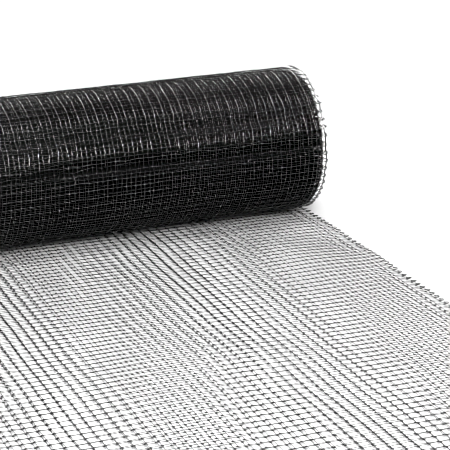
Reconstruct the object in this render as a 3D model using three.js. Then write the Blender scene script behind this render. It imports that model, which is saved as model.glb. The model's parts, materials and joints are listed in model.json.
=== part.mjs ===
import * as THREE from "three";

// Mole netting: a black square-mesh plastic net, folded double along its length and wound into a roll.
// The loose end runs out from under the roll and lies on the floor.
// Millimetres, +Z up, the floor is z = 0. X runs along the roll, with the fold of the net at +X.
// The loose end lies towards -Y. The origin is under the middle of the whole part.

// The folded net
const FOLDED_WIDTH = 1000;
const LAYER = 1.2;
const LAYER_GAP = 0.6;
const FOLD_GAP = 3.2;
const FOLD_EASE = 30;

// The roll, whose outermost turn starts where the loose end leaves it
const ROLL_RADIUS = 99;
const TURN_PITCH = 2.6;
const AXIS_HEIGHT = 97;
const EYE_RADIUS = 12;
const EYE_DEPTH = 16;
const END_DISH = 5;
const END_RIPPLE = 1.5;

// The loose end, measured from the roll's axis
const LOOSE_REACH = 756;
const LOOSE_TUCK = 28;
const FOLD_OPENS_FROM = 36;
const FOLD_OPENS_TO = 120;

// Steps of the surfaces
const TURN_STEPS = 88;
const ROLL_STEPS = 24;
const CAP_RINGS = [0.94, 0.72, 0.46];
const LAYER_STEPS = 16;
const FOLD_STEPS = 6;
const LENGTH_STEPS = 22;
const FOLD_CROWDING = 1.7;

// Axial creases of the wound net. The angle runs from the bottom through the front to the top and the back.
// A crease lies between its two ends, measured along X, and fades out past them.
const CREASES = [
  { angleDeg: 127, wanderDeg: 1.5, from: -470, to: 420, depth: 3.2, width: 9 },
  { angleDeg: 101, wanderDeg: 1.2, from: 130, to: 500, depth: 3.6, width: 9 },
  { angleDeg: 152, wanderDeg: 2.0, from: -480, to: 60, depth: 1.8, width: 12 },
  { angleDeg: 203, wanderDeg: 2.5, from: -380, to: 480, depth: 2.4, width: 11 },
  { angleDeg: 248, wanderDeg: 2.0, from: -500, to: 210, depth: 2.8, width: 10 },
  { angleDeg: 291, wanderDeg: 1.5, from: -120, to: 500, depth: 2.0, width: 12 },
  { angleDeg: 64, wanderDeg: 1.5, from: -460, to: 260, depth: 1.4, width: 11 },
];
const CREASE_FADE = 60;
const CREASE_WAVE = 640;

// Low places where the loose end lifts off the floor, measured from the roll's axis along Y.
const LIFTS = [
  { x: 400, y: -215, reachX: 90, reachY: 150, lift: 4.0 },
  { x: 150, y: -470, reachX: 210, reachY: 130, lift: 3.0 },
  { x: -210, y: -300, reachX: 240, reachY: 160, lift: 3.5 },
  { x: -330, y: -610, reachX: 150, reachY: 110, lift: 2.5 },
];

const HALF_WIDTH = FOLDED_WIDTH / 2;
const CONTACT_ANGLE = Math.acos(AXIS_HEIGHT / ROLL_RADIUS);
const BACK_TURN = (Math.PI / 2 + CONTACT_ANGLE) / (2 * Math.PI);
const AXIS_Y = (LOOSE_REACH - spiralRadius(BACK_TURN)) / 2;

// Radius of the winding, where turn goes from 0 at the loose end to 1 one turn further in.
function spiralRadius(turn) {
  return ROLL_RADIUS - TURN_PITCH * turn;
}

// Rises smoothly from 0 at low to 1 at high.
function smoothStep(low, high, value) {
  return THREE.MathUtils.smoothstep(value, low, high);
}

// Depth of all creases at one angle and place along the roll. The flat spot at the bottom has none.
function creaseDepth(angle, x) {
  let depth = 0;
  for (const [index, crease] of CREASES.entries()) {
    const wander = crease.wanderDeg * Math.sin((2 * Math.PI * x) / CREASE_WAVE + index);
    const middle = THREE.MathUtils.degToRad(crease.angleDeg + wander);
    const across = (ROLL_RADIUS * (angle - middle)) / crease.width;
    const begins = smoothStep(crease.from - CREASE_FADE, crease.from, x);
    const ends = 1 - smoothStep(crease.to, crease.to + CREASE_FADE, x);
    depth += crease.depth * begins * ends * Math.exp(-across * across);
  }
  return depth;
}

// Angles of one ring around the roll: back from the loose end under the roll, over the top, down the front.
function ringTurns() {
  return Array.from({ length: TURN_STEPS + 1 }, (unused, step) => step / TURN_STEPS);
}

// Angle from the bottom through the front, at one place of the outermost turn.
function turnAngle(turn) {
  return CONTACT_ANGLE + 2 * Math.PI * (1 - turn);
}

// A point of the winding at a share of its radius, flat where it meets the floor.
function rollPoint(turn, x, share, uneven) {
  const angle = turnAngle(turn);
  const plainAngle = angle % (2 * Math.PI);
  const radius = share * (spiralRadius(turn) - uneven * creaseDepth(plainAngle, x));
  const y = AXIS_Y - radius * Math.sin(angle);
  const z = AXIS_HEIGHT - radius * Math.cos(angle);
  return new THREE.Vector3(x, y, Math.max(z, 0));
}

// Ends of the roll: flush at the rim, dished and uneven further in.
function endRing(side, share) {
  return ringTurns().map((turn) => {
    const ripple = END_RIPPLE * (1 - Math.sin(2 * turnAngle(turn) + 9 * share));
    const inset = (END_DISH * (1 - share) + ripple) * (1 - smoothStep(0.72, 1, share));
    return rollPoint(turn, side * (HALF_WIDTH - inset), share, share);
  });
}

// The eye at the middle of the winding, a shallow hollow left when the net was rolled up.
function eyeRing(side, depth, radius) {
  const x = side * (HALF_WIDTH - END_DISH - depth);
  return ringTurns().map((turn) => rollPoint(turn, x, radius / ROLL_RADIUS, 0));
}

function eyeCentre(side) {
  const x = side * (HALF_WIDTH - END_DISH - EYE_DEPTH);
  return new THREE.Vector3(x, AXIS_Y, AXIS_HEIGHT);
}

// One end of the roll from its eye out to its rim.
function endRings(side) {
  const caps = CAP_RINGS.map((share) => endRing(side, share));
  return [eyeRing(side, EYE_DEPTH, EYE_RADIUS / 2), eyeRing(side, 0, EYE_RADIUS), ...caps.reverse()];
}

// Rings from one rim of the roll to the other.
function sideRings() {
  return Array.from({ length: ROLL_STEPS + 1 }, (unused, step) => {
    const x = THREE.MathUtils.lerp(-HALF_WIDTH, HALF_WIDTH, step / ROLL_STEPS);
    return ringTurns().map((turn) => rollPoint(turn, x, 1, 1));
  });
}

// Adds the two triangles of a quad whose corners run round its outer side.
function addQuad(indices, a, b, c, d) {
  indices.push(a, b, c, a, c, d);
}

function toGeometry(points, indices) {
  const geometry = new THREE.BufferGeometry().setFromPoints(points);
  geometry.setIndex(indices);
  geometry.computeVertexNormals();
  return geometry;
}

// A closed skin over a run of rings, with a point at each end.
function skinGeometry(firstPole, rings, lastPole) {
  const size = rings[0].length;
  const points = [...rings.flat(), firstPole, lastPole];
  const lastRing = (rings.length - 1) * size;
  const indices = [];
  for (let place = 0; place < size; place += 1) {
    const next = (place + 1) % size;
    indices.push(points.length - 2, next, place);
    indices.push(points.length - 1, lastRing + place, lastRing + next);
    for (let ring = 0; ring < lastRing; ring += size) {
      addQuad(indices, ring + place, ring + next, ring + size + next, ring + size + place);
    }
  }
  return toGeometry(points, indices);
}

// A closed sheet between two grids of points that face away from each other.
function sheetGeometry(outer, inner) {
  const lastRow = outer.length - 1;
  const lastColumn = outer[0].length - 1;
  const points = [...outer.flat(), ...inner.flat()];
  const inside = points.length / 2;
  const at = (row, column) => row * (lastColumn + 1) + column;
  const indices = [];
  const addStrip = (from, to) => addQuad(indices, to, from, from + inside, to + inside);
  for (let row = 0; row < lastRow; row += 1) {
    for (let column = 0; column < lastColumn; column += 1) {
      const corners = [at(row, column), at(row, column + 1), at(row + 1, column + 1), at(row + 1, column)];
      addQuad(indices, ...corners);
      addQuad(indices, ...corners.reverse().map((corner) => corner + inside));
    }
    addStrip(at(row + 1, 0), at(row, 0));
    addStrip(at(row, lastColumn), at(row + 1, lastColumn));
  }
  for (let column = 0; column < lastColumn; column += 1) {
    addStrip(at(0, column), at(0, column + 1));
    addStrip(at(lastRow, column + 1), at(lastRow, column));
  }
  return toGeometry(points, indices);
}

// Height of the loose end's underside over the floor. Y is measured from the roll's axis.
function liftHeight(x, y) {
  let height = 0;
  for (const place of LIFTS) {
    const acrossX = (x - place.x) / place.reachX;
    const acrossY = (y - place.y) / place.reachY;
    const distance = Math.min(1, Math.hypot(acrossX, acrossY));
    height += place.lift * Math.cos((distance * Math.PI) / 2) ** 2;
  }
  return height;
}

// Air between the two layers: little under the roll and away from the fold, more in the springy fold.
function layerGap(x, y) {
  const open = smoothStep(FOLD_OPENS_FROM, FOLD_OPENS_TO, -y);
  const nearFold = Math.exp(-(HALF_WIDTH - x) / FOLD_EASE);
  return LAYER_GAP + (FOLD_GAP - LAYER_GAP) * open * nearFold;
}

// One cross-section of the folded sheet at a place along its length: lower layer, fold, upper layer.
function foldedSection(y, outward) {
  const foldAir = layerGap(HALF_WIDTH, y);
  const foldRadius = (foldAir + LAYER) / 2;
  const foldX = HALF_WIDTH - foldRadius - LAYER / 2;
  const offset = (outward * LAYER) / 2;
  const lower = [];
  const upper = [];
  for (let step = 0; step <= LAYER_STEPS; step += 1) {
    const fromFold = (1 - step / LAYER_STEPS) ** FOLD_CROWDING;
    const x = foldX - (foldX + HALF_WIDTH) * fromFold;
    const middle = liftHeight(x, y) + LAYER / 2;
    const air = step === LAYER_STEPS ? foldAir : layerGap(x, y);
    lower.push(new THREE.Vector3(x, AXIS_Y + y, middle - offset));
    upper.unshift(new THREE.Vector3(x, AXIS_Y + y, middle + LAYER + air + offset));
  }
  const foldHeight = liftHeight(foldX, y) + LAYER / 2 + foldRadius;
  const bend = [];
  for (let step = 1; step < FOLD_STEPS; step += 1) {
    const angle = Math.PI * (step / FOLD_STEPS - 0.5);
    const reach = foldRadius + offset;
    const x = foldX + reach * Math.cos(angle);
    bend.push(new THREE.Vector3(x, AXIS_Y + y, foldHeight + reach * Math.sin(angle)));
  }
  return [...lower, ...bend, ...upper];
}

function foldedGrid(outward) {
  return Array.from({ length: LENGTH_STEPS + 1 }, (unused, step) => {
    const y = THREE.MathUtils.lerp(-LOOSE_TUCK, -LOOSE_REACH, step / LENGTH_STEPS);
    return foldedSection(y, outward);
  });
}

function netMaterial(color, roughness) {
  return new THREE.MeshStandardMaterial({ color, roughness, metalness: 0 });
}

function makeRoll() {
  const rings = [...endRings(-1), ...sideRings(), ...endRings(1).reverse()];
  const roll = new THREE.Mesh(skinGeometry(eyeCentre(-1), rings, eyeCentre(1)), netMaterial(0x101011, 0.5));
  roll.name = "roll";
  return roll;
}

function makeLooseEnd() {
  const geometry = sheetGeometry(foldedGrid(1), foldedGrid(-1));
  const looseEnd = new THREE.Mesh(geometry, netMaterial(0x161617, 0.45));
  looseEnd.name = "loose_end";
  return looseEnd;
}

const netting = new THREE.Group();
netting.name = "mole_netting";
netting.add(makeRoll(), makeLooseEnd());

export default netting;
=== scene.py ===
import json
import math

import bpy
import numpy as np
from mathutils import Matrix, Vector
from mathutils.bvhtree import BVHTree


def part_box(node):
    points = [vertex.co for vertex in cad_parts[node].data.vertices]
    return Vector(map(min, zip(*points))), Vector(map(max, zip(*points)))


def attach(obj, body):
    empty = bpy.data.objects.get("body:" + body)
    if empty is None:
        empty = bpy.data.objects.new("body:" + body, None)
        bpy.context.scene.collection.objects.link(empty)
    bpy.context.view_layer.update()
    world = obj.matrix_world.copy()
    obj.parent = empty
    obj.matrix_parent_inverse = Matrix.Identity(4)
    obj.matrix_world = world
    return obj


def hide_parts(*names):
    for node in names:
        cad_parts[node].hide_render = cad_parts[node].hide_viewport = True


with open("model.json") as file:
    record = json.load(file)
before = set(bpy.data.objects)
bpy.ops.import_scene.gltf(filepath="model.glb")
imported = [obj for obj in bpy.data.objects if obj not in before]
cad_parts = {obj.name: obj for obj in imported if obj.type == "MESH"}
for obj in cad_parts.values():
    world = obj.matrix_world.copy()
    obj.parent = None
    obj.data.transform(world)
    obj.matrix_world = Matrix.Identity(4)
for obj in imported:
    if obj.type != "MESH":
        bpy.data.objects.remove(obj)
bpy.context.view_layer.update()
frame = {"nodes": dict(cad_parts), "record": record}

# Mole netting: a black square-mesh plastic net, folded double and wound into a roll, with its loose end
# on the floor. Metres, +Z up. X runs along the roll, with the fold of the net at +X and its two open
# edges at -X. A length of net is measured from its cut end at the front, back to the roll and on round
# the winding. The outer layer lies below on the floor and outside on the roll, and the inner layer is
# the other one. A row is a cross strand, counted from the front, and a column is a lengthwise strand,
# counted from the fold.
OUTER = 0
INNER = 1
SEED = 7

# The mesh of the net: its spacing, the places of its first and last strands, and the cut ends
MESH_ALONG = 0.0111
MESH_ACROSS = 0.0125
COLUMNS = 80
FIRST_COLUMN = 0.0038
WOUND_COLUMN = 0.0026
FIRST_ROW = 0.0055
OPEN_EDGE = 0.0055
EDGE_FADE = 2 * MESH_ACROSS
STUB_SHORT = 0.0015
STUB_LONG = 0.0050

# Radii of the strands on the floor and on the roll, and half the step between the two directions
LOOSE_ALONG = 0.00032
LOOSE_ACROSS = 0.00025
LOOSE_FOLD = 0.00020
WOUND_ALONG = 0.00031
WOUND_ACROSS = 0.00042
WOUND_RIM = 0.0009
STRAND_OFFSET = 0.0003
WOUND_REST = WOUND_RIM + STRAND_OFFSET
TUBE_SIDES = 4
HIDDEN_SIDES = 3

# Loops of the cross strands round the fold: radii, steps, and reach as a share of the way to the tip
LOOP_LOOSE = 0.00055
LOOP_WOUND = 0.0009
LOOP_STEPS = 4
BULGE_LEAST = 0.85
BULGE_SPREAD = 0.3

# Knots at the crossings: a flared one runs out into the strands, and a plain one is smaller
KNOT_ALONG = 0.0021
KNOT_ACROSS = 0.0019
KNOT_WAIST = 0.0012
KNOT_HALF = 0.00105
PLAIN_SHARE = 0.55
BARE = 0
PLAIN = 1
FLARED = 2

# Places in a piece's materials: lengthwise strands, loops and knots take one, cross strands the other
DRAWN = 0
GLOSSY = 1

# The winding: a spiral that lies on the floor, with an eye and dished ends
ROLL_RADIUS = 0.099
TURN_PITCH = 0.0026
LAYER_STEP = TURN_PITCH / 2
AXIS_HEIGHT = 0.097
EYE_RADIUS = 0.012
EYE_DEPTH = 0.016
EYE_TAPER = 0.7
END_DISH = 0.005
FINE_TURNS = 2

# How strongly the net follows the solid's creases, and over how many turns they die out
CREASE_TURNS = 5.0
CREASE_FULL = 0.0034
CREASE_WIDE = 0.35
CREASE_SHARP = 1.6

# How far the fold's tip draws in on the roll, and the turns at which it does
RIM_DRAW = 0.0024
RIM_DRAW_END = 0.15
RIM_STEP = 0.0041
RIM_STEP_START = 0.95
RIM_STEP_END = 1.25

# Pleats along the roll's front: angle from the bottom and its wander in degrees, phase, and ends on X
PLEATS = (
    (127, 1.5, 0, -0.47, 0.42),
    (101, 1.2, 1, -0.50, 0.50),
)
PLEAT_PUSH = 0.0021
PLEAT_REACH = 0.007
PLEAT_EDGE = 0.0018
PLEAT_FADE = 0.06
PLEAT_WAVE = 0.64

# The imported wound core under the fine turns
CORE_DEPTH = 0.0057
CORE_RIDGE = 0.0011
CORE_INSET = 0.0082
CORE_FACETS = 2
CAP_RINGS = 24
CAP_RIDGE = 0.0008

# Unevenness of the mesh, in the net's plane and through it
JITTER_LOOSE = 0.00022
JITTER_ROLL = 0.00035
JITTER_BAND = 0.0007
JITTER_THROUGH = 0.00022
BAND_THROUGH = 0.00055
JITTER_LIMIT = 2.2

# The buckled band on the roll's front, as angles from the bottom
BAND_LOW = math.radians(99)
BAND_HIGH = math.radians(134)
BAND_FADE = math.radians(8)

# Slow waves of the mesh in its plane: amplitude, waves per metre along and across, phase for each layer
WAVES = (
    (0.0011, 1.3, 0.7, (0.0, 0.15)),
    (0.0008, -2.1, 3.4, (2.2, 2.0)),
    (0.0005, 5.3, 4.1, (4.0, 4.4)),
)
ROLL_WAVES = (
    (0.0005, 5.0, 2.0, (0.5, 3.6)),
    (0.0004, -9.0, 3.5, (1.3, 5.1)),
    (0.0002, 3.0, 9.0, (3.3, 0.2)),
)

# Shift of the inner layer against the outer one, which makes the moire bands on the floor: distance from
# the fold, and meshes across and along
SHIFTS = (
    (0.00, -0.30, -0.62),
    (0.05, 0.18, 0.05),
    (0.10, 0.34, 0.18),
    (0.16, 0.48, 0.80),
    (0.20, 0.71, 1.20),
    (0.24, 0.83, 1.60),
    (0.28, 0.90, 1.88),
    (0.33, 1.16, 2.10),
    (0.39, 1.23, 2.38),
    (0.42, 1.33, 2.55),
    (0.46, 1.60, 2.71),
    (0.50, 1.83, 2.90),
    (0.62, 2.30, 3.20),
    (0.80, 1.20, 1.60),
    (1.00, 0.00, 0.60),
)
SHIFT_REACH, SHIFT_ACROSS, SHIFT_ALONG = zip(*SHIFTS)

# A further shift along, in meshes for each metre of length, which dies out towards the fold
SHIFT_SKEW = 1.3
SKEW_FADE = 0.1

# The even shift on the roll, in meshes, and the turn at which it is reached
WOUND_SHIFT_ACROSS = -0.39
WOUND_SHIFT_ALONG = -0.47
WOUND_SHIFT_TURN = 0.5

# Drift of the columns along the roll in each turn, in meshes, and the reach of its fading at the ends
TURN_DRIFT = 0.35
DRIFT_FADE = 0.15

# Uneven rise of the upper layer along the fold: height, waves per metre along and across, phase
FOLD_RISES = (
    (0.0009, 4.3, 3.0, 0.4),
    (0.0007, 7.9, -5.0, 2.1),
)
FOLD_SPREAD = 0.07

# Length of the loose end that tucks under the roll
TUCK = 0.03

# Samples of the CAD solids
TURN_SAMPLES = 180
ROLL_SAMPLES = 64
ROLL_SPAN = 0.46
SHEET_SAMPLES = 97
LENGTH_SAMPLES = 45
SHEET_MARGIN = 0.004
RAY_HEIGHT = 0.05

# Black plastic: its colours, and the least and most roughness and the specular level of each kind
PLASTIC_IOR = 1.6
BLACK_DARK = (0.0003, 0.0003, 0.0003)
BLACK_PALE = (0.0008, 0.0008, 0.0008)
# The deep colour is darker than the net's own: painted shade of the many turns packed under the fine
# ones
SHADED_CORE_PALE = (0.0006, 0.0006, 0.0006)
DRAWN_FINISH = (0.08, 0.18, 0.92)
GLOSSY_FINISH = (0.14, 0.26, 0.9)
LOOSE_FINISH = (0.3, 0.45, 0.2)
# The two inner kinds are the same plastic with less gloss: painted shade of the outer layer on the
# layers under it
SHADED_DRAWN_FINISH = (0.12, 0.24, 0.48)
SHADED_GLOSSY_FINISH = (0.18, 0.3, 0.28)
# The deep kind has almost no gloss: painted shade of the packed turns in the core
SHADED_CORE_FINISH = (0.6, 0.8, 0.015)

# Textures of the plastic: faint clouds of colour, and a fine grain
TINT_SCALE = 90.0
TINT_DETAIL = 3.0
TINT_DARK_AT = 0.35
TINT_PALE_AT = 0.68
GRAIN_SCALE = 1400.0
GRAIN_DETAIL = 2.0
BUMP_STRENGTH = 0.35
BUMP_DEPTH = 0.0002

# Floor and world
FLOOR_HALF = 30.0
FLOOR_COLOUR = (0.158, 0.158, 0.158, 1)
FLOOR_ROUGHNESS = 0.9
FLOOR_SPECULAR = 0.1
WORLD_COLOUR = (1, 1, 1, 1)
WORLD_STRENGTH = 0.04

# Lamps: name, place, point that the lamp faces, size and power
BACK_LAMP = ("back", (5.2, 3.4, 3.6), (1.3, 2.2, 0), (4.0, 4.0), 1080)
BACK_LEFT_LAMP = ("back_left", (-1.5, 3.4, 2.0), (0.6, 1.8, 0), (1.0, 1.0), 325)
FILL_LAMP = ("fill", (-0.25, -1.9, 1.62), (0.15, 0.0, 0), (0.5, 1.45), 420)
STRIP_LAMP = ("strip", (0.75, -0.87, 1.95), (0.75, 0.33, 0.1), (1.9, 0.2), 18)
SKY_PLACE = (-0.3, -0.4, 3.0)
SKY_TARGET = (0.0, 0.2, 0)
SKY_ANGLE = math.radians(24)
SKY_STRENGTH = 8.2

# Camera, with angles in degrees, and the picture's black level and filter
CAMERA_PLACE = (-0.4568, -1.6320, 0.7292)
CAMERA_AZIMUTH = -23.38
CAMERA_ELEVATION = 19.24
CAMERA_LENS = 132.3
BLACK_LEVEL = 0.0036
FILTER_WIDTH = 1.0

# Places taken from the frame
SHEET_LOW, SHEET_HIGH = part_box("loose_end")
AXIS_Y = frame["record"]["mounts"][0]["pos_m"][1]
FOLD_X = SHEET_HIGH.x
OPEN_X = SHEET_LOW.x
CONTACT_ANGLE = math.acos(AXIS_HEIGHT / ROLL_RADIUS)
CONTACT_REACH = ROLL_RADIUS * math.sin(CONTACT_ANGLE)
LOOSE_REACH = AXIS_Y - SHEET_LOW.y
LOOSE_LENGTH = LOOSE_REACH - CONTACT_REACH
SHEET_LENGTH = SHEET_HIGH.y - SHEET_LOW.y


def wound_length(turn):
    """Length of net from the contact line to a number of turns further in."""
    return 2 * math.pi * ROLL_RADIUS * turn - math.pi * TURN_PITCH * turn * turn


# Turns of the winding, the last row on the floor, in the first turn, in the fine turns and in all, and
# the steps round the core
TURNS = (ROLL_RADIUS - EYE_RADIUS) / TURN_PITCH
LOOSE_ROWS = math.ceil((LOOSE_LENGTH - FIRST_ROW) / MESH_ALONG)
FIRST_TURN_ROWS = math.ceil((LOOSE_LENGTH + wound_length(1) - FIRST_ROW) / MESH_ALONG)
FINE_ROWS = math.ceil((LOOSE_LENGTH + wound_length(FINE_TURNS) - FIRST_ROW) / MESH_ALONG)
ALL_ROWS = math.floor((LOOSE_LENGTH + wound_length(TURNS) - FIRST_ROW) / MESH_ALONG)
CORE_STEPS = CORE_FACETS * round(wound_length(1) / MESH_ALONG)

# Unevenness of each knot, by layer, row and column: along, across and through the net
random = np.random.default_rng(SEED)
JITTER = np.clip(random.normal(size=(2, ALL_ROWS + 1, COLUMNS, 3)), -JITTER_LIMIT, JITTER_LIMIT)


def smooth_step(low, high, value):
    """Rises smoothly from 0 at low to 1 at high."""
    share = np.clip((value - low) / (high - low), 0, 1)
    return share * share * (3 - 2 * share)


def sampled(table, row_share, column_share):
    """Bilinear values of a table at places given as shares from 0 to 1."""
    rows, columns = table.shape
    row = np.clip(row_share, 0, 1) * (rows - 1)
    column = np.clip(column_share, 0, 1) * (columns - 1)
    row_low = np.minimum(row.astype(int), rows - 2)
    column_low = np.minimum(column.astype(int), columns - 2)
    row_part = row - row_low
    column_part = column - column_low
    rest = 1 - column_part
    near = table[row_low, column_low] * rest + table[row_low, column_low + 1] * column_part
    far = table[row_low + 1, column_low] * rest + table[row_low + 1, column_low + 1] * column_part
    return near * (1 - row_part) + far * row_part


def unit(vectors):
    """The same directions at length 1, with no division by 0."""
    return vectors / np.maximum(np.linalg.norm(vectors, axis=-1, keepdims=True), 1e-12)


# Shapes of the CAD solids, which the net follows

def cad_tree(node):
    """Search tree of a CAD node's faces."""
    mesh = frame["nodes"][node].data
    corners = [vertex.co for vertex in mesh.vertices]
    return BVHTree.FromPolygons(corners, [tuple(face.vertices) for face in mesh.polygons])


def turn_angle(turn):
    """Angle from the bottom through the front, at a place of the winding."""
    return CONTACT_ANGLE + 2 * math.pi * (1 - turn)


def measured_roll():
    """Radius of the roll's outermost turn, by share of the turn and place along X."""
    tree = cad_tree("roll")
    margin = 0.5 / TURN_SAMPLES
    table = np.empty((TURN_SAMPLES, ROLL_SAMPLES))
    for row, turn in enumerate(np.linspace(margin, 1 - margin, TURN_SAMPLES)):
        angle = turn_angle(turn)
        ray = Vector((0, -math.sin(angle), -math.cos(angle)))
        for column, x in enumerate(np.linspace(-ROLL_SPAN, ROLL_SPAN, ROLL_SAMPLES)):
            table[row, column] = tree.ray_cast(Vector((x, AXIS_Y, AXIS_HEIGHT)), ray)[3]
    return table


def measured_sheet(upwards):
    """Height of the loose end's underside or top, by share of its length and place along X."""
    tree = cad_tree("loose_end")
    ray = Vector((0, 0, 1 if upwards else -1))
    start = -RAY_HEIGHT if upwards else RAY_HEIGHT
    table = np.empty((LENGTH_SAMPLES, SHEET_SAMPLES))
    places_x = np.linspace(OPEN_X + SHEET_MARGIN, FOLD_X - SHEET_MARGIN, SHEET_SAMPLES)
    places_y = np.linspace(SHEET_LOW.y + SHEET_MARGIN, SHEET_HIGH.y - SHEET_MARGIN, LENGTH_SAMPLES)
    for row, y in enumerate(places_y):
        for column, x in enumerate(places_x):
            table[row, column] = tree.ray_cast(Vector((x, y, start)), ray)[0].z
    return table


ROLL_TABLE = measured_roll()
UNDER_TABLE = measured_sheet(True)
TOP_TABLE = measured_sheet(False)


# Places of the net

def turn_past(past):
    """Turns of the winding at a length of net past the contact line."""
    return (ROLL_RADIUS - np.sqrt(ROLL_RADIUS ** 2 - TURN_PITCH * past / math.pi)) / TURN_PITCH


def turn_at(length):
    """Turns of the winding at a length of net, which are 0 on the floor."""
    return turn_past(np.maximum(length - LOOSE_LENGTH, 0))


def fold_edge(length):
    """Place along X of the fold's tip, which the outermost turn holds out past the inner ones."""
    turn = turn_at(length)
    drawn = RIM_DRAW * smooth_step(0, RIM_DRAW_END, turn)
    drawn_in = drawn + RIM_STEP * smooth_step(RIM_STEP_START, RIM_STEP_END, turn)
    return FOLD_X - drawn_in - END_DISH * smooth_step(1, TURNS, turn)


def open_edge(length):
    """Place along X of the last column at the open edges."""
    return OPEN_X + OPEN_EDGE + END_DISH * smooth_step(1, TURNS, turn_at(length))


def pleated(angle, x):
    """Angles pushed apart where the net tucks into a pleat."""
    pushed = angle
    for middle, wander, phase, start, end in PLEATS:
        centre = np.radians(middle + wander * np.sin(2 * math.pi * x / PLEAT_WAVE + phase))
        away = ROLL_RADIUS * (angle - centre)
        within = smooth_step(start - PLEAT_FADE, start, x) * (1 - smooth_step(end, end + PLEAT_FADE, x))
        push = PLEAT_PUSH * np.tanh(away / PLEAT_EDGE) * np.exp(-(away / PLEAT_REACH) ** 2)
        pushed = pushed + within * push / ROLL_RADIUS
    return pushed


def axis_points(x):
    """Points of the roll's axis."""
    return np.stack([x, np.full_like(x, AXIS_Y), np.full_like(x, AXIS_HEIGHT)], axis=-1)


def roll_points(past, x, depth):
    """Points of the winding and their outward directions, at a depth under its outer face."""
    turn = turn_past(past)
    whole = np.floor(turn)
    share = turn - whole
    plain = ROLL_RADIUS - TURN_PITCH * share
    uneven = sampled(ROLL_TABLE, share, (x + ROLL_SPAN) / (2 * ROLL_SPAN)) - plain
    uneven = uneven * (CREASE_WIDE + CREASE_SHARP * (np.abs(uneven) / CREASE_FULL) ** 3)
    radius = plain + uneven * np.exp(-whole / CREASE_TURNS) - TURN_PITCH * whole - depth
    angle = pleated(turn_angle(share), x)
    outward = np.stack([np.zeros_like(angle), -np.sin(angle), -np.cos(angle)], axis=-1)
    points = axis_points(x) + radius[..., None] * outward
    points[..., 2] = np.maximum(points[..., 2], WOUND_REST)
    return points, outward


def fold_rise(length, x):
    """Uneven extra height of the upper layer along the fold."""
    reach = np.maximum(FOLD_X - x, 0)
    total = np.zeros_like(x)
    for height, along, across, phase in FOLD_RISES:
        total += height * (1 + np.sin(2 * math.pi * (along * length + across * reach) + phase))
    return total * np.exp(-reach / FOLD_SPREAD)


def loose_points(length, x, layer, lift):
    """Points of the loose end on the floor."""
    along = length / SHEET_LENGTH
    across = (x - OPEN_X) / (FOLD_X - OPEN_X)
    lying = sampled(UNDER_TABLE, along, across) + KNOT_HALF
    if layer == INNER:
        lying = sampled(TOP_TABLE, along, across) + fold_rise(length, x)
    tucked = KNOT_HALF + layer * LAYER_STEP
    tuck = smooth_step(LOOSE_LENGTH - TUCK, LOOSE_LENGTH, length)
    height = lying * (1 - tuck) + tucked * tuck + lift
    return np.stack([x, AXIS_Y - LOOSE_REACH + length, height], axis=-1)


def net_points(length, x, layer, through):
    """Points of one layer of the net and their outward directions."""
    past = length - LOOSE_LENGTH
    depth = KNOT_HALF + layer * LAYER_STEP
    wound, outward = roll_points(np.maximum(past, 0), x, depth + through)
    lying = loose_points(length, x, layer, np.abs(through) / 2)
    on_roll = (past > 0)[..., None]
    return np.where(on_roll, wound, lying), np.where(on_roll, outward, np.array([0.0, 0.0, -1.0]))


def waved(waves, length, x, layer):
    """Sum of slow waves over the net."""
    total = np.zeros_like(x)
    for amplitude, along, across, phases in waves:
        total += amplitude * np.sin(2 * math.pi * (along * length + across * x) + phases[layer])
    return total


def shifted(length, x, reach, turn):
    """Places of the inner layer, shifted against the outer one."""
    wound = smooth_step(0, WOUND_SHIFT_TURN, turn)
    across = np.interp(reach, SHIFT_REACH, SHIFT_ACROSS)
    skew = SHIFT_SKEW * (length - LOOSE_LENGTH / 2) * smooth_step(0, SKEW_FADE, reach)
    along = np.interp(reach, SHIFT_REACH, SHIFT_ALONG) + skew
    even = WOUND_SHIFT_ACROSS * smooth_step(OPEN_X, OPEN_X + EDGE_FADE, x)
    shifted_x = x + MESH_ACROSS * (across + (even - across) * wound)
    return length + MESH_ALONG * (along + (WOUND_SHIFT_ALONG - along) * wound), shifted_x


def buckled_share(turn):
    """1 within the buckled band on the roll's front, and 0 away from it."""
    angle = turn_angle(turn - np.floor(turn))
    rise = smooth_step(BAND_LOW - BAND_FADE, BAND_LOW, angle)
    return rise * (1 - smooth_step(BAND_HIGH, BAND_HIGH + BAND_FADE, angle))


def lattice(rows, columns, layer):
    """Knots of one layer for whole rows and columns: points and outward directions."""
    jitter = JITTER[layer][np.ix_(rows, columns)]
    length, column = np.meshgrid(FIRST_ROW + MESH_ALONG * rows, columns.astype(float), indexing="ij")
    turn = turn_at(length)
    on_roll = smooth_step(LOOSE_LENGTH, LOOSE_LENGTH + MESH_ALONG, length)
    first = fold_edge(length) - FIRST_COLUMN - (WOUND_COLUMN - FIRST_COLUMN) * on_roll
    x = first - column * (first - open_edge(length)) / (COLUMNS - 1)
    reach = fold_edge(length) - x
    inside = smooth_step(0, EDGE_FADE, reach) * smooth_step(OPEN_X, OPEN_X + EDGE_FADE, x)
    if layer == INNER:
        length, x = shifted(length, x, reach, turn)
    middle = smooth_step(0, DRIFT_FADE, reach) * smooth_step(OPEN_X, OPEN_X + DRIFT_FADE, x)
    x = x - MESH_ACROSS * TURN_DRIFT * np.minimum(turn, FINE_TURNS) * middle
    loose_wave = waved(WAVES, length, x, layer)
    roll_wave = waved(ROLL_WAVES, length, x, layer)
    band = buckled_share(turn)
    buckled = JITTER_ROLL + (JITTER_BAND - JITTER_ROLL) * band
    in_plane = JITTER_LOOSE + (buckled - JITTER_LOOSE) * on_roll
    length = length + loose_wave + roll_wave * on_roll + in_plane * jitter[..., 0]
    x = x + (loose_wave + roll_wave * on_roll) * inside + in_plane * jitter[..., 1]
    through = JITTER_THROUGH + (BAND_THROUGH - JITTER_THROUGH) * band * on_roll
    return net_points(length, x, layer, through * jitter[..., 2])


# Joined meshes

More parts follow.
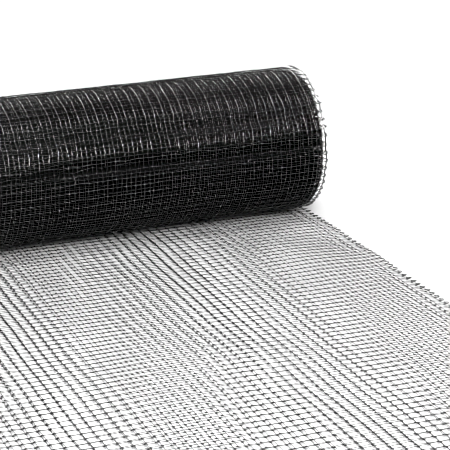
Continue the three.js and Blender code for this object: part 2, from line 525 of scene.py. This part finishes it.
def tubes(points, outward, radius, sides):
    """Closed strands along rows of points, as vertices and lists of faces."""
    strands, steps, _ = points.shape
    along = unit(np.gradient(points, axis=1))
    side = unit(np.cross(along, outward))
    up = np.cross(side, along)
    turns = 2 * math.pi * np.arange(sides) / sides
    ring = np.cos(turns)[:, None] * up[:, :, None, :] + np.sin(turns)[:, None] * side[:, :, None, :]
    corners = points[:, :, None, :] + np.broadcast_to(radius, (strands, steps))[:, :, None, None] * ring
    index = np.arange(strands * steps * sides).reshape(strands, steps, sides)
    onward = np.roll(index, -1, axis=2)
    walls = np.stack([index[:, :-1], onward[:, :-1], onward[:, 1:], index[:, 1:]], axis=-1)
    return corners.reshape(-1, 3), [walls.reshape(-1, 4), index[:, 0, ::-1], index[:, -1]]


def knot_shape(flared):
    """Corners of a knot, along, across and through the net, and its triangles."""
    reach = 1.0 if flared else PLAIN_SHARE
    arms = np.array([(1, 0), (0, 1), (-1, 0), (0, -1)]) * (KNOT_ALONG * reach, KNOT_ACROSS * reach)
    waists = np.array([(1, 1), (-1, 1), (-1, -1), (1, -1)]) * KNOT_WAIST
    rim = np.stack([arms, waists], axis=1).reshape(-1, 2) if flared else arms
    count = len(rim)
    poles = [(0, 0, KNOT_HALF), (0, 0, -KNOT_HALF)]
    corners = np.concatenate([np.column_stack([rim, np.zeros(count)]), poles])
    first = np.arange(count)
    second = (first + 1) % count
    top = np.stack([first, second, np.full(count, count)], axis=-1)
    bottom = np.stack([second, first, np.full(count, count + 1)], axis=-1)
    return corners, np.concatenate([top, bottom])


def knots(points, along, outward, flared):
    """A thick knot at each point, as vertices and a list of faces."""
    corners, faces = knot_shape(flared)
    along = unit(along)
    across = unit(np.cross(outward, along))
    through = np.cross(along, across)
    axes = np.stack([along, across, through], axis=1)
    places = points[:, None, :] + corners @ axes
    shift = len(corners) * np.arange(len(points))
    return places.reshape(-1, 3), [(faces[None] + shift[:, None, None]).reshape(-1, 3)]


def make_piece(name, parts, materials):
    """One smooth mesh object from several arrays of vertices and faces, each with its material."""
    places = []
    corners = []
    sizes = []
    numbers = []
    offset = 0
    for points, face_sets, number in parts:
        places.append(points)
        for faces in face_sets:
            corners.append((faces + offset).ravel())
            sizes.append(np.full(len(faces), faces.shape[1]))
            numbers.append(np.full(len(faces), number))
        offset += len(points)
    places = np.concatenate(places).astype(np.float32)
    corners = np.concatenate(corners).astype(np.int32)
    sizes = np.concatenate(sizes)
    starts = np.concatenate([[0], np.cumsum(sizes)[:-1]]).astype(np.int32)
    mesh = bpy.data.meshes.new(name)
    mesh.vertices.add(len(places))
    mesh.loops.add(len(corners))
    mesh.polygons.add(len(sizes))
    mesh.vertices.foreach_set("co", places.ravel())
    mesh.polygons.foreach_set("loop_start", starts)
    mesh.polygons.foreach_set("vertices", corners)
    for material in materials:
        mesh.materials.append(material)
    mesh.polygons.foreach_set("material_index", np.concatenate(numbers).astype(np.int32))
    mesh.update(calc_edges=True)
    mesh.shade_smooth()
    piece = bpy.data.objects.new(name, mesh)
    bpy.context.scene.collection.objects.link(piece)
    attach(piece, "root")
    return piece


# Pieces of the net

def stub_lengths(count):
    """Uneven lengths of cut strand ends."""
    return STUB_SHORT + (STUB_LONG - STUB_SHORT) * random.random(count)


def with_open_stubs(points, outward):
    """Cross strands run on past their last column to cut ends at the open edge."""
    stubs = np.zeros((len(points), 1, 3))
    stubs[:, 0, 0] = -stub_lengths(len(points))
    strands = np.concatenate([points, points[:, -1:] + stubs], axis=1)
    return strands, np.concatenate([outward, outward[:, -1:]], axis=1)


def with_front_stubs(points, outward):
    """Lengthwise strands run on before their first row to cut ends at the front."""
    stubs = np.zeros((len(points), 1, 3))
    stubs[:, 0, 1] = -stub_lengths(len(points))
    strands = np.concatenate([points[:, :1] + stubs, points], axis=1)
    return strands, np.concatenate([outward[:, :1], outward], axis=1)


def layer_parts(rows, layer, tube_sides, knot_style, cut_front=False):
    """Strands and knots of one layer over a run of rows, with cut ends at the open edge."""
    points, outward = lattice(rows, np.arange(COLUMNS), layer)
    rows_out, rows_up = with_open_stubs(points, outward)
    columns_out = points.transpose(1, 0, 2)
    columns_up = outward.transpose(1, 0, 2)
    along = np.gradient(columns_out, axis=1).transpose(1, 0, 2)
    if cut_front:
        columns_out, columns_up = with_front_stubs(columns_out, columns_up)
    offset = STRAND_OFFSET if layer == OUTER else -STRAND_OFFSET
    lying = knot_style == FLARED
    along_radius = np.full((COLUMNS, 1), LOOSE_ALONG if lying else WOUND_ALONG)
    along_radius[0] = LOOSE_FOLD if lying else WOUND_RIM
    across_radius = np.full(COLUMNS + 1, LOOSE_ACROSS if lying else WOUND_ACROSS)
    across_radius[0] = LOOSE_ACROSS if lying else WOUND_RIM
    parts = [
        (*tubes(columns_out + offset * columns_up, columns_up, along_radius, tube_sides), DRAWN),
        (*tubes(rows_out - offset * rows_up, rows_up, across_radius, tube_sides), GLOSSY),
    ]
    if knot_style != BARE:
        made = knots(points.reshape(-1, 3), along.reshape(-1, 3), outward.reshape(-1, 3), lying)
        parts.append((*made, DRAWN))
    return parts


def loop_parts(rows, radius):
    """Springy loops of the cross strands round the fold."""
    first = np.array([0])
    lower, lower_out = lattice(rows, first, OUTER)
    upper, _ = lattice(rows, first, INNER)
    tip = fold_edge(FIRST_ROW + MESH_ALONG * rows)[:, None] - (lower[..., 0] + upper[..., 0]) / 2
    turn = np.linspace(0, math.pi, LOOP_STEPS + 1)[None, :, None]
    bulge = np.zeros((len(rows), 1, 3))
    bulge[..., 0] = tip * (BULGE_LEAST + BULGE_SPREAD * random.random((len(rows), 1)))
    path = (lower + upper) / 2 + (upper - lower) / 2 * np.cos(turn) + bulge * np.sin(turn)
    return [(*tubes(path, np.repeat(lower_out, LOOP_STEPS + 1, axis=1), radius, TUBE_SIDES), DRAWN)]


def end_band_parts(rows, columns, at_open):
    """The outermost column of the inner turns at one end of the roll, with its cross strands."""
    parts = []
    for layer in (OUTER, INNER):
        points, outward = lattice(rows, columns, layer)
        edge = -1 if at_open else 0
        rim = points[:, edge]
        rim_up = outward[:, edge]
        along = np.gradient(rim, axis=0)
        cross, cross_up = with_open_stubs(points, outward) if at_open else (points, outward)
        parts += [
            (*tubes(rim[None], rim_up[None], WOUND_ALONG, TUBE_SIDES), DRAWN),
            (*tubes(cross, cross_up, WOUND_ACROSS, TUBE_SIDES), GLOSSY),
            (*knots(rim, along, rim_up, False), DRAWN),
        ]
    return parts


def core_ring(x, radius_share, ridges):
    """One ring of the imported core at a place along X, at a share of its radius."""
    places = np.full(CORE_STEPS, float(x))
    past = wound_length(1) * (np.arange(CORE_STEPS) / CORE_STEPS)
    points, _ = roll_points(past, places, CORE_DEPTH + CORE_RIDGE * (1 - ridges))
    axis = axis_points(places)
    return axis + (points - axis) * radius_share


def core_parts():
    """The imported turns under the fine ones: ridged along both strand directions, with dished ends."""
    around = (np.arange(CORE_STEPS) % CORE_FACETS == 0).astype(float)
    fold_x = FOLD_X - CORE_INSET
    open_x = OPEN_X + CORE_INSET
    cells = round((fold_x - open_x) / MESH_ACROSS) * CORE_FACETS
    eye_share = EYE_RADIUS / (ROLL_RADIUS - CORE_DEPTH)
    shares = np.linspace(eye_share, 1, CAP_RINGS + 1)[:-1]
    caps = []
    for side, end in ((-1, open_x), (1, fold_x)):
        cap = [core_ring(end - side * (END_DISH + EYE_DEPTH), eye_share * EYE_TAPER, around)]
        for number, share in enumerate(shares):
            dish = END_DISH * (1 - share) + CAP_RIDGE * (number % 2)
            cap.append(core_ring(end - side * dish, share, around))
        caps.append(cap)
    walls = []
    for cell in range(cells + 1):
        x = open_x + (fold_x - open_x) * cell / cells
        ridges = np.maximum(around, float(cell % CORE_FACETS == 0))
        walls.append(core_ring(x, 1.0, ridges))
    rings = np.stack(caps[0] + walls + caps[1][::-1])
    count = len(rings)
    index = np.arange(count * CORE_STEPS).reshape(count, CORE_STEPS)
    onward = np.roll(index, -1, axis=1)
    quads = np.stack([index[:-1], onward[:-1], onward[1:], index[1:]], axis=-1).reshape(-1, 4)
    poles = np.stack([rings[0].mean(axis=0), rings[-1].mean(axis=0)])
    pole = count * CORE_STEPS
    first = np.stack([np.full(CORE_STEPS, pole), onward[0], index[0]], axis=-1)
    last = np.stack([np.full(CORE_STEPS, pole + 1), index[-1], onward[-1]], axis=-1)
    return [(np.concatenate([rings.reshape(-1, 3), poles]), [quads, first, last], DRAWN)]


# Materials

def new_material(name):
    """A new material with its node tree and its shader."""
    material = bpy.data.materials.new(name)
    material.use_nodes = True
    return material, material.node_tree, material.node_tree.nodes["Principled BSDF"]


def net_plastic(name, finish, pale=BLACK_PALE):
    """Extruded black plastic: faint colour changes, uneven gloss and fine draw marks."""
    rough_low, rough_high, specular = finish
    material, tree, shader = new_material(name)
    nodes = tree.nodes
    links = tree.links
    place = nodes.new("ShaderNodeTexCoord")
    tint = nodes.new("ShaderNodeTexNoise")
    tint.inputs["Scale"].default_value = TINT_SCALE
    tint.inputs["Detail"].default_value = TINT_DETAIL
    links.new(place.outputs["Object"], tint.inputs["Vector"])
    ramp = nodes.new("ShaderNodeValToRGB")
    ramp.color_ramp.elements[0].position = TINT_DARK_AT
    ramp.color_ramp.elements[0].color = (*BLACK_DARK, 1)
    ramp.color_ramp.elements[1].position = TINT_PALE_AT
    ramp.color_ramp.elements[1].color = (*pale, 1)
    links.new(tint.outputs["Fac"], ramp.inputs["Fac"])
    links.new(ramp.outputs["Color"], shader.inputs["Base Color"])
    grain = nodes.new("ShaderNodeTexNoise")
    grain.inputs["Scale"].default_value = GRAIN_SCALE
    grain.inputs["Detail"].default_value = GRAIN_DETAIL
    links.new(place.outputs["Object"], grain.inputs["Vector"])
    gloss = nodes.new("ShaderNodeMapRange")
    gloss.inputs["To Min"].default_value = rough_low
    gloss.inputs["To Max"].default_value = rough_high
    links.new(grain.outputs["Fac"], gloss.inputs["Value"])
    links.new(gloss.outputs["Result"], shader.inputs["Roughness"])
    bump = nodes.new("ShaderNodeBump")
    bump.inputs["Strength"].default_value = BUMP_STRENGTH
    bump.inputs["Distance"].default_value = BUMP_DEPTH
    links.new(grain.outputs["Fac"], bump.inputs["Height"])
    links.new(bump.outputs["Normal"], shader.inputs["Normal"])
    shader.inputs["Specular IOR Level"].default_value = specular
    shader.inputs["IOR"].default_value = PLASTIC_IOR
    return material


def floor_material():
    """Plain matte floor, which the lamps make white."""
    material, _, shader = new_material("floor_white")
    shader.inputs["Base Color"].default_value = FLOOR_COLOUR
    shader.inputs["Roughness"].default_value = FLOOR_ROUGHNESS
    shader.inputs["Specular IOR Level"].default_value = FLOOR_SPECULAR
    return material


# Floor, light and camera

def make_floor():
    """A wide flat floor, which is no part of the net."""
    corners = [(-1, -1), (1, -1), (1, 1), (-1, 1)]
    mesh = bpy.data.meshes.new("floor")
    mesh.from_pydata([(FLOOR_HALF * x, FLOOR_HALF * y, 0) for x, y in corners], [], [(0, 1, 2, 3)])
    mesh.materials.append(floor_material())
    floor = bpy.data.objects.new("floor", mesh)
    bpy.context.scene.collection.objects.link(floor)


def put_lamp(data, place, target):
    """A lamp at a place, turned to a point."""
    lamp = bpy.data.objects.new(data.name, data)
    lamp.location = place
    lamp.rotation_mode = "QUATERNION"
    lamp.rotation_quaternion = (Vector(target) - Vector(place)).to_track_quat("-Z", "Y")
    bpy.context.scene.collection.objects.link(lamp)


def make_light(name, place, target, size, power):
    """A soft oblong lamp that faces a point."""
    data = bpy.data.lights.new(name, "AREA")
    data.shape = "RECTANGLE"
    data.size = size[0]
    data.size_y = size[1]
    data.energy = power
    put_lamp(data, place, target)


def make_sky():
    """Even soft light from above, which also reaches the far floor."""
    data = bpy.data.lights.new("sky", "SUN")
    data.angle = SKY_ANGLE
    data.energy = SKY_STRENGTH
    put_lamp(data, SKY_PLACE, SKY_TARGET)


def make_world():
    """A faint even white all round."""
    world = bpy.data.worlds.new("studio")
    world.use_nodes = True
    background = world.node_tree.nodes["Background"]
    background.inputs["Color"].default_value = WORLD_COLOUR
    background.inputs["Strength"].default_value = WORLD_STRENGTH
    bpy.context.scene.world = world


def make_camera():
    """The camera at the photograph's place and angle."""
    azimuth = math.radians(CAMERA_AZIMUTH)
    elevation = math.radians(CAMERA_ELEVATION)
    back = Vector((
        math.sin(azimuth) * math.cos(elevation),
        -math.cos(azimuth) * math.cos(elevation),
        math.sin(elevation),
    ))
    data = bpy.data.cameras.new("camera")
    data.lens = CAMERA_LENS
    camera = bpy.data.objects.new("camera", data)
    camera.location = CAMERA_PLACE
    camera.rotation_mode = "QUATERNION"
    camera.rotation_quaternion = (-back).to_track_quat("-Z", "Y")
    bpy.context.scene.collection.objects.link(camera)
    bpy.context.scene.camera = camera


def set_picture():
    """Plain colours, deep blacks and sharp strands."""
    scene = bpy.context.scene
    scene.view_settings.view_transform = "Standard"
    scene.view_settings.use_curve_mapping = True
    scene.view_settings.curve_mapping.black_level = (BLACK_LEVEL, BLACK_LEVEL, BLACK_LEVEL)
    scene.view_settings.curve_mapping.update()
    scene.cycles.filter_width = FILTER_WIDTH


make_camera()
make_floor()
make_world()
make_light(*BACK_LAMP)
make_light(*BACK_LEFT_LAMP)
make_light(*FILL_LAMP)
make_sky()
make_light(*STRIP_LAMP)
set_picture()

drawn = net_plastic("net_black_drawn", DRAWN_FINISH)
glossy = net_plastic("net_black_glossy", GLOSSY_FINISH)
loose = net_plastic("net_black_loose", LOOSE_FINISH)
# Duller copies of the plastic, as painted shade, for the layers under the outer one
shaded_drawn = net_plastic("net_black_inner_drawn", SHADED_DRAWN_FINISH)
shaded_glossy = net_plastic("net_black_inner_glossy", SHADED_GLOSSY_FINISH)
# A darker, nearly matte copy of the plastic, as painted shade, for the core
deep = net_plastic("net_black_deep", SHADED_CORE_FINISH, SHADED_CORE_PALE)
plastic = (drawn, glossy)
loose_plastic = (loose, loose)
shaded_plastic = (shaded_drawn, shaded_glossy)

loose_rows = np.arange(LOOSE_ROWS + 1)
first_rows = np.arange(LOOSE_ROWS, FIRST_TURN_ROWS + 1)
second_rows = np.arange(FIRST_TURN_ROWS, FINE_ROWS + 1)
deep_rows = np.arange(FINE_ROWS, ALL_ROWS + 1)
wound_rows = np.arange(LOOSE_ROWS, ALL_ROWS + 1)
fold_columns = np.array([0, 1])
open_columns = np.array([COLUMNS - 2, COLUMNS - 1])

lower_parts = layer_parts(loose_rows, OUTER, TUBE_SIDES, FLARED, cut_front=True)
lower = make_piece("loose_end_lower", lower_parts, loose_plastic)
upper_parts = layer_parts(loose_rows, INNER, TUBE_SIDES, FLARED, cut_front=True)
upper_parts += loop_parts(loose_rows, LOOP_LOOSE)
upper = make_piece("loose_end_upper", upper_parts, loose_plastic)
make_piece("roll_turn_1_outer", layer_parts(first_rows, OUTER, TUBE_SIDES, PLAIN), plastic)
# The layers under the outer one take the duller copies of the plastic: painted shade
make_piece("roll_turn_1_inner", layer_parts(first_rows, INNER, TUBE_SIDES, PLAIN), shaded_plastic)
make_piece("roll_turn_2_outer", layer_parts(second_rows, OUTER, HIDDEN_SIDES, PLAIN), shaded_plastic)
make_piece("roll_turn_2_inner", layer_parts(second_rows, INNER, HIDDEN_SIDES, BARE), shaded_plastic)
fold_parts = end_band_parts(deep_rows, fold_columns, at_open=False) + loop_parts(wound_rows, LOOP_WOUND)
make_piece("roll_fold_end", fold_parts, plastic)
make_piece("roll_open_end", end_band_parts(deep_rows, open_columns, at_open=True), plastic)
# The core takes the darker, nearly matte copy: painted shade of the turns packed in it
core = make_piece("roll_core", core_parts(), (deep,))

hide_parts("roll")
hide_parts("loose_end")
